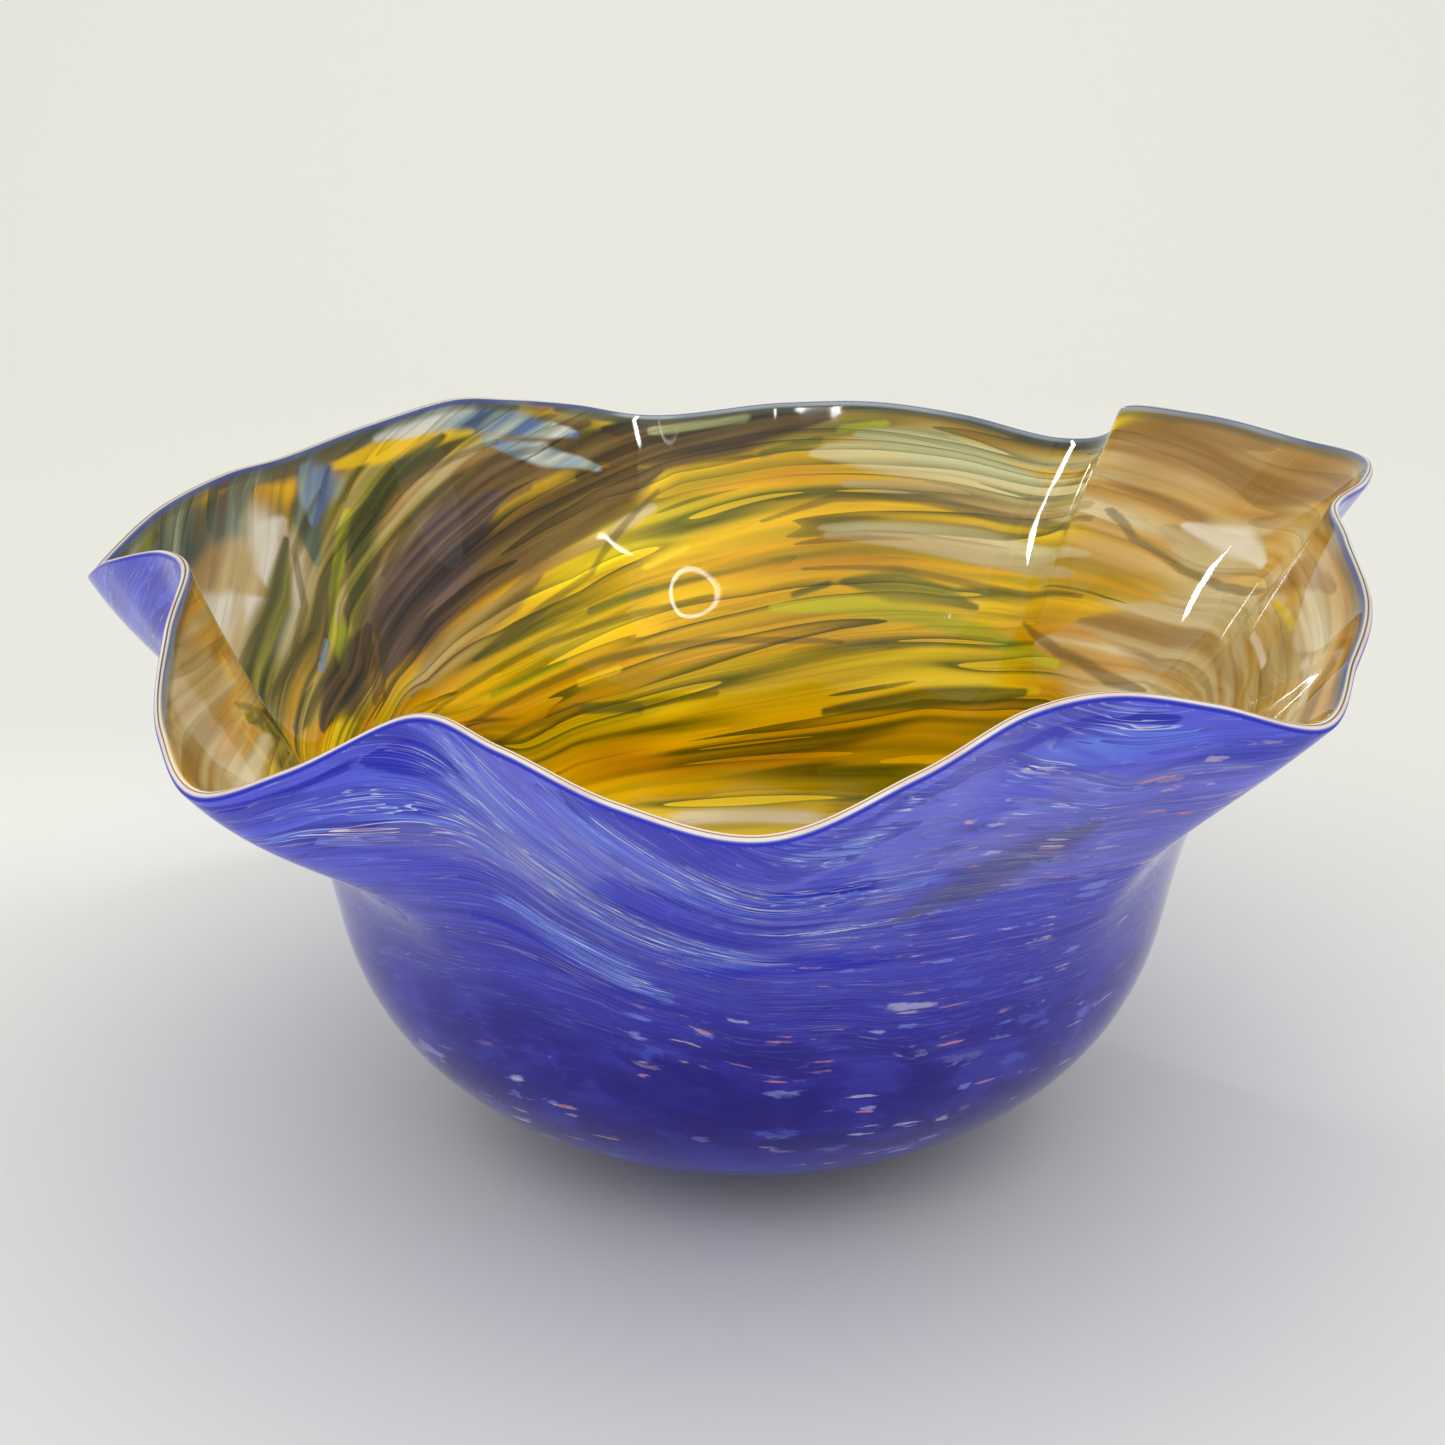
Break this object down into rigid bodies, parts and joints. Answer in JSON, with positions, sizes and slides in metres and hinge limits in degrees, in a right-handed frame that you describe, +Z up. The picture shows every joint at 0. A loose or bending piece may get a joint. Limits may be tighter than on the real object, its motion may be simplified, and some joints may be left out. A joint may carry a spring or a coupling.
{
  "type": "art glass bowl",
  "caption": "Blown and cased glass bowl with a round body, a ground flat foot and a wide ruffled rim, in blue over white over amber glass.",
  "frame": {"origin": "centre of the flat ground foot", "axes": "+Z up, out of the bowl's mouth; +X to the right of the front and -Y towards the front, where the low front trough of the rim is"},
  "size_m": [0.3426, 0.3568, 0.1722],
  "materials": {
    "cobalt_glass": "gloss",
    "opal_glass": "gloss",
    "amber_glass": "gloss",
    "pontil_glass": "gloss"
  },
  "bodies": {
    "root": {"blue_overlay": "cobalt_glass", "opal_core": "opal_glass", "amber_lining": "amber_glass", "pontil_button": "pontil_glass"}
  },
  "joints": []
}
